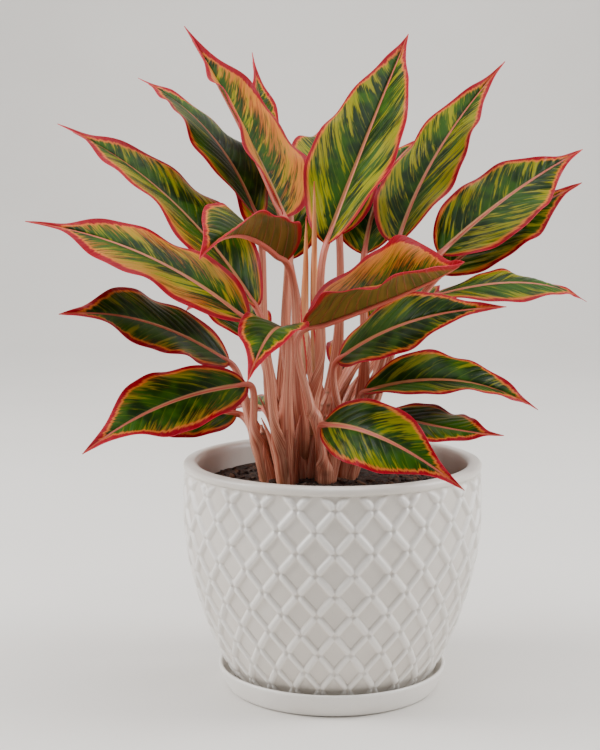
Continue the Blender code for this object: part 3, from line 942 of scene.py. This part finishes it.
def unit_rows(rows):
    return rows / np.linalg.norm(rows, axis=-1, keepdims=True)


def bezier(corners, place):
    """Points and directions on a cubic curve, at an array of places from 0 to 1."""
    a, b, c, d = [np.asarray(corner, dtype=float) for corner in corners]
    t = np.asarray(place, dtype=float)[:, None]
    s = 1 - t
    points = a * s ** 3 + 3 * b * s * s * t + 3 * c * s * t * t + d * t ** 3
    slope = (b - a) * s * s + 2 * (c - b) * s * t + (d - c) * t * t
    return points, unit_rows(slope)


FOOT_CLEARANCE = 4.1            # from the cane's surface to the middle of a petiole's foot


def leaf_lines(cane, height, neck, tip, arch, bow, roll):
    """Corner points of the midrib and of the petiole, and the blade's upward direction."""
    neck, tip, roll = np.array(neck, float), np.array(tip, float), math.radians(roll)
    along = unit_rows(tip - neck)
    up = unit_rows(np.array((0.0, 0.0, 1.0)) - along * along[2])
    normal = up * math.cos(roll) - np.cross(up, along) * math.sin(roll)
    lift = normal * arch + np.cross(normal, along) * bow
    midrib = (neck, neck + (tip - neck) / 3 + lift, neck + (tip - neck) * 2 / 3 + lift, tip)
    start = unit_rows(midrib[1] - midrib[0])
    centre = np.array(cane_at(cane, height))
    outward = unit_rows(np.array((neck[0] - centre[0], neck[1] - centre[1], 0.0)))
    foot = centre + outward * (CANES[cane][2] + FOOT_CLEARANCE)
    cane_rise = unit_rows(np.array(CANES[cane][1], float) - np.array((*CANES[cane][0], COLLAR)))
    leave = unit_rows(cane_rise + 0.35 * outward)
    reach = np.linalg.norm(neck - foot)
    stalk = (foot, foot + leave * 0.35 * reach, neck - start * 0.25 * reach, neck)
    return midrib, stalk, normal, outward


def square_to(directions, references):
    """References turned square to the directions, row by row."""
    dots = np.sum(directions * references, axis=-1, keepdims=True)
    return unit_rows(references - directions * dots)


# %% Shaping a blade
BLADE_ACROSS, BLADE_ALONG = 36, 110
BLADE_THICKNESS = 0.5
BASE_POWER, TIP_POWER = 0.60, 0.95      # how fast the outline widens and narrows
WIDEST = 0.387                          # where it is widest, as a share of its length
TIP_NARROWING = 0.62                    # how much the drip tip is drawn in
MARGIN_WAVE = 0.050                     # height of the margin's waves, as a share of its width


def outline(place):
    """Half-width share: round shoulders, then a long drawn-out drip tip."""
    body = place ** BASE_POWER * (1 - place) ** TIP_POWER
    body = body / (WIDEST ** BASE_POWER * (1 - WIDEST) ** TIP_POWER)
    return body * (1 - TIP_NARROWING * soft(0.56, 0.95, place))


def shape_blade(blade, midrib, normal, width, fold, seed):
    """Move the flat blank's points onto one leaf."""
    flat = points_of(blade)
    across, place = flat[:, 0] * 2, np.clip(flat[:, 1] + 0.5, 0, 1)
    centre, along = bezier(midrib, place)
    facing = square_to(along, np.broadcast_to(normal, along.shape))
    left = np.cross(along, facing)
    steps = np.diff(bezier(midrib, np.linspace(0, 1, 60))[0], axis=0)
    length = np.linalg.norm(steps, axis=1).sum()
    tip_fade = np.clip((1 - place) / 0.16, 0, 1)
    half = np.maximum(width / 2 * outline(place), 0.30 + 1.2 * (1 - place) ** 8)
    share = np.abs(across)
    run = share * half
    tilt = math.radians(fold)
    rise = run * math.sin(tilt) * 1.25 - 0.30 * math.sin(tilt) * run * share
    rise -= 0.10 * half * share ** 2 * np.sin(np.pi * place)
    side = np.where(across < 0, 0.0, 1.0)
    waves = np.sin(2 * np.pi * (1.9 * place + 0.37 * seed + 0.45 * side))
    waves += 0.35 * np.sin(2 * np.pi * (4.7 * place + 0.61 * seed + 0.3 * side))
    rise += MARGIN_WAVE * width * share ** 2.2 * waves * np.sin(np.pi * place) ** 0.7 * tip_fade
    along_mm = place * length
    vein = (along_mm - VEIN_SLANT * run - VEIN_CURVE * run * run) / VEIN_PITCH + 0.5 * side
    puff = 0.5 - 0.5 * np.cos(2 * np.pi * (vein - 0.5))
    rise += 0.42 * (puff - 0.5) * np.sin(np.pi * np.clip(share, 0, 1)) * tip_fade
    rise -= 0.9 * np.exp(-(run / 1.7) ** 2) * tip_fade
    sweep = np.sign(across) * run * (math.cos(tilt) * (1 - 0.06 * share))
    shaped = centre + left * sweep[:, None] + facing * rise[:, None]
    set_points(blade, shaped * MM)
    plan_place = np.stack([along_mm, across * half, (1 - share) * half], axis=1)
    set_values(blade, "blade_place", plan_place)
    set_values(blade, "span", place)


# %% Shaping a sheath, petiole and keel
TUBE_SIDES, TUBE_RINGS = 14, 110
SHEATH_SHARE, STALK_SHARE = 0.20, 0.42      # shares of the tube's length in rings
SHEATH_DROP = 34.0
STALK_RADIUS = ((0, 0.12, 0.3, 0.6, 1.0, 1.35, 2.0), (2.8, 3.9, 3.9, 3.2, 2.5, 1.9, 0.45))


def stalk_path(midrib, stalk, cane, height, outward):
    """Middle line of the tube from the sheath's foot to near the tip, one row for each ring."""
    rings = TUBE_RINGS + 1
    sheath, petiole = int(rings * SHEATH_SHARE), int(rings * STALK_SHARE)
    keel = rings - sheath - petiole
    low = max(COLLAR - 5.0, height - SHEATH_DROP)
    heights = np.linspace(low, height, sheath, endpoint=False)
    gap = np.linspace(0.9, 4.1, sheath, endpoint=False)[:, None]
    middles = np.array([cane_at(cane, level) for level in heights])
    clasp = middles + outward * (CANES[cane][2] + gap - 0.9)
    stem, _ = bezier(stalk, np.linspace(0, 1, petiole, endpoint=False))
    rib, _ = bezier(midrib, np.linspace(0, 0.93, keel))
    line = np.concatenate([clasp, stem, rib])
    for _ in range(6):
        line[1:-1] = (line[:-2] + 2 * line[1:-1] + line[2:]) / 4
    rise = np.concatenate([np.linspace(0, 0.25, sheath, endpoint=False),
                           np.linspace(0.25, 1, petiole, endpoint=False), np.linspace(1, 2, keel)])
    return line, rise


def shape_stalk(tube, lines, cane, height, seed):
    """Bend the tube blank along its path; widest where it clasps the cane."""
    midrib, stalk, normal, outward = lines
    line, rise = stalk_path(midrib, stalk, cane, height, outward)
    along = unit_rows(np.gradient(line, axis=0))
    facing = np.empty_like(line)
    facing[-1] = square_to(along[-1], normal)
    for ring in range(len(line) - 2, -1, -1):
        facing[ring] = square_to(along[ring], facing[ring + 1] if rise[ring] < 1 else normal)
    inward = square_to(along, np.broadcast_to(-outward, along.shape))
    clasp_share = soft(0.55, 0.22, rise)[:, None]
    facing = square_to(along, facing * (1 - clasp_share) + inward * clasp_share)
    on_blade = np.clip(rise - 1, 0, 1)
    radius = np.interp(rise, *STALK_RADIUS)
    wide = 1.0 + 0.80 * soft(0.75, 0.15, rise) + 0.12 * soft(0.6, 1.0, rise)
    line = line - facing * (soft(0.0, 0.10, on_blade) * (radius * 0.75 + 0.6))[:, None]
    clasp = clasp_share[:, 0] / (2.2 * CANES[cane][2] + 4)
    skin_tube(tube, line, facing, radius, wide, clasp, rise, seed)


def skin_tube(tube, line, facing, radius, wide, clasp, rise, seed):
    """Wrap the tube blank round a line: channelled towards its facing side, and curled to clasp."""
    along = unit_rows(np.gradient(line, axis=0))
    unit = points_of(tube)
    ring = np.clip(np.round(unit[:, 2] * TUBE_RINGS).astype(int), 0, TUBE_RINGS)
    turn_angle = np.arctan2(unit[:, 1], unit[:, 0])
    groove = 1.0 - 0.22 * np.exp(-((turn_angle - np.pi / 2) / 0.5) ** 2)
    flat_x = unit[:, 0] * radius[ring] * wide[ring] * groove
    flat_y = unit[:, 1] * radius[ring] * groove + flat_x ** 2 * clasp[ring]
    left = np.cross(along, facing)
    shaped = line[ring] + left[ring] * flat_x[:, None] + facing[ring] * flat_y[:, None]
    set_points(tube, shaped * MM)
    stalk_place = (rise[ring], turn_angle, np.full(len(ring), seed))
    set_values(tube, "stalk_place", np.stack(stalk_place, axis=1))


# %% Making every leaf
deselect()
bpy.ops.mesh.primitive_grid_add(x_subdivisions=BLADE_ACROSS, y_subdivisions=BLADE_ALONG, size=1)
blade_blank = new_piece("blade_blank")
tube = tube_blank("stalk_blank", TUBE_SIDES, TUBE_RINGS)
for blank in (blade_blank, tube):
    for finish in (face, back, stalk_skin):
        blank.data.materials.append(finish.material)
for polygon in tube.data.polygons:
    polygon.material_index = 2


def make_leaf(name, number, spec):
    cane, height, neck, tip, width, arch, bow, roll, fold, yellow, red = spec
    seed = 1.0 + number * 0.37
    lines = leaf_lines(cane, height, neck, tip, arch, bow, roll)
    blade = copy_piece(blade_blank, name + "_blade")
    shape_blade(blade, lines[0], lines[2], width, fold, seed)
    set_values(blade, "tone", np.tile((seed, yellow, red), (len(blade.data.vertices), 1)))
    apply_modifier(blade, "SOLIDIFY", thickness=BLADE_THICKNESS * MM, offset=-1.0,
                   material_offset=1, material_offset_rim=0, use_even_offset=False)
    stalk = copy_piece(tube, name + "_stalk")
    shape_stalk(stalk, lines, cane, height, seed)
    pick(blade, stalk)
    bpy.ops.object.join()
    finish_piece(blade, [], [name], angle=60)
    return blade


leaves = [make_leaf(name, number, spec) for number, (name, spec) in enumerate(LEAVES.items())]
print(len(leaves), "leaves,", sum(len(leaf.data.polygons) for leaf in leaves), "faces")

# %% [markdown]
# ## Old sheaths
# When a leaf is shed its sheath stays on the cane for a while, a pink scoop with a drawn-out end.
# They fill the space between the canes. Each is one more copy of the stalk's tube, set at its own
# bearing round the cane and leaning away from it.

# %% Sheaths left on the canes
SHEATHS_PER_CANE = 4
OLD_SHEATH_RADIUS = ((0, 0.15, 0.5, 0.8, 1.0), (3.2, 3.5, 3.0, 1.7, 0.35))
OLD_SHEATH_WIDTH = ((0, 0.2, 0.6, 1.0), (1.5, 1.9, 1.5, 1.1))
draw = random.Random(23)


def old_sheath(cane, low, length, bearing, lean, seed):
    """One sheath from a height on its cane, in millimetres and radians."""
    sheath = copy_piece(tube, "sheath")
    share = np.linspace(0, 1, TUBE_RINGS + 1)
    outward = np.array((math.cos(bearing), math.sin(bearing), 0.0))
    middle = np.array([cane_at(cane, low + length * step) for step in share])
    line = middle + outward * (CANES[cane][2] - 0.6 + lean * share ** 2 * length)[:, None]
    along = unit_rows(np.gradient(line, axis=0))
    facing = square_to(along, np.broadcast_to(-outward, along.shape))
    radius = np.interp(share, *OLD_SHEATH_RADIUS)
    wide = np.interp(share, *OLD_SHEATH_WIDTH)
    clasp = (1 - 0.7 * share) / (2.0 * CANES[cane][2] + 4)
    skin_tube(sheath, line, facing, radius, wide, clasp, share * 0.9, seed)
    return sheath


for number, cane in enumerate(CANES):
    sheaths = []
    for turn_number in range(SHEATHS_PER_CANE):
        bearing = 2 * math.pi * (turn_number + 0.5 * draw.random()) / SHEATHS_PER_CANE + number
        low = COLLAR - 9.0
        room = CANES[cane][1][2] - low
        length = room * draw.uniform(0.75, 1.25)
        lean, seed = draw.uniform(0.08, 0.26), draw.random() * 9
        sheaths.append(old_sheath(cane, low, length, bearing, lean, seed))
    pick(*sheaths)
    bpy.ops.object.join()
    finish_piece(new_piece("cane_" + cane + "_sheaths"), [], ["cane_" + cane], angle=60)
for blank in (blade_blank, tube):
    bpy.data.objects.remove(blank)
print(SHEATHS_PER_CANE * len(CANES), "old sheaths")

# %% [markdown]
# ## Young leaves
# A new leaf comes up rolled like a cigar, cream at its foot and pink at its free edge, which winds
# round it as a raised seam. Each is a tube whose radius steps up along a slow spiral.

# %% Rolled young leaves
YOUNG_LEAVES = {    # foot, tip, radius
    "young_leaf_left": ((-22, -8, 244), (-20, -17, 366), 3.2),
    "young_leaf_right": ((-14, -3, 246), (-14, -24, 392), 3.0),
}
YOUNG_SIDES, YOUNG_RINGS = 40, 70
YOUNG_CREAM, YOUNG_ORANGE, YOUNG_GREEN = (0.74, 0.50, 0.30), (0.80, 0.30, 0.12), (0.50, 0.42, 0.08)
YOUNG_PINK = (0.70, 0.03, 0.04)
YOUNG_BODY = ((0, 0.12, 0.35, 0.7, 0.92, 1.0), (0.62, 0.85, 1.0, 0.72, 0.28, 0.07))
young_skin = Finish("young_leaf", roughness=0.4)
rise, seam, _ = young_skin.parts(young_skin.vector("roll_place"))
fibre = young_skin.grain(young_skin.join(seam * 5.0, rise * 3.0, rise * 0.0), 1.0, detail=3.0)
up_share = young_skin.step(rise + fibre * 0.2, 0.1, 0.8)
young_tone = young_skin.mix(up_share, YOUNG_CREAM, YOUNG_ORANGE)
young_tone = young_skin.mix(young_skin.step(fibre, 0.5, 0.75) * 0.6, young_tone, YOUNG_GREEN)
edge_share = young_skin.step(seam, 0.86, 0.95).maths("MAXIMUM", young_skin.step(rise, 0.9, 1.0))
young_skin.set("Base Color", young_skin.mix(edge_share, young_tone, YOUNG_PINK))
young_skin.set("Normal", young_skin.bump(fibre, 0.0004, 0.5))
roll_blank = tube_blank("roll_blank", YOUNG_SIDES, YOUNG_RINGS)
for node, (foot, tip, radius) in YOUNG_LEAVES.items():
    roll = copy_piece(roll_blank, node + "_roll")
    unit = points_of(roll)
    rise = unit[:, 2]
    seam = np.mod(np.arctan2(unit[:, 1], unit[:, 0]) / (2 * np.pi) + 0.9 * rise, 1.0)
    reach = radius * np.interp(rise, *YOUNG_BODY) * (0.86 + 0.24 * seam)
    middle = np.array(foot) + (np.array(tip) - np.array(foot)) * rise[:, None]
    outward = np.stack([unit[:, 0] * reach, unit[:, 1] * reach, 0 * rise], axis=1)
    set_points(roll, (middle + outward) * MM)
    set_values(roll, "roll_place", np.stack([rise, seam, 0 * rise], axis=1))
    finish_piece(roll, [young_skin.material], [node], angle=50)
bpy.data.objects.remove(roll_blank)
print(len(YOUNG_LEAVES), "young leaves")
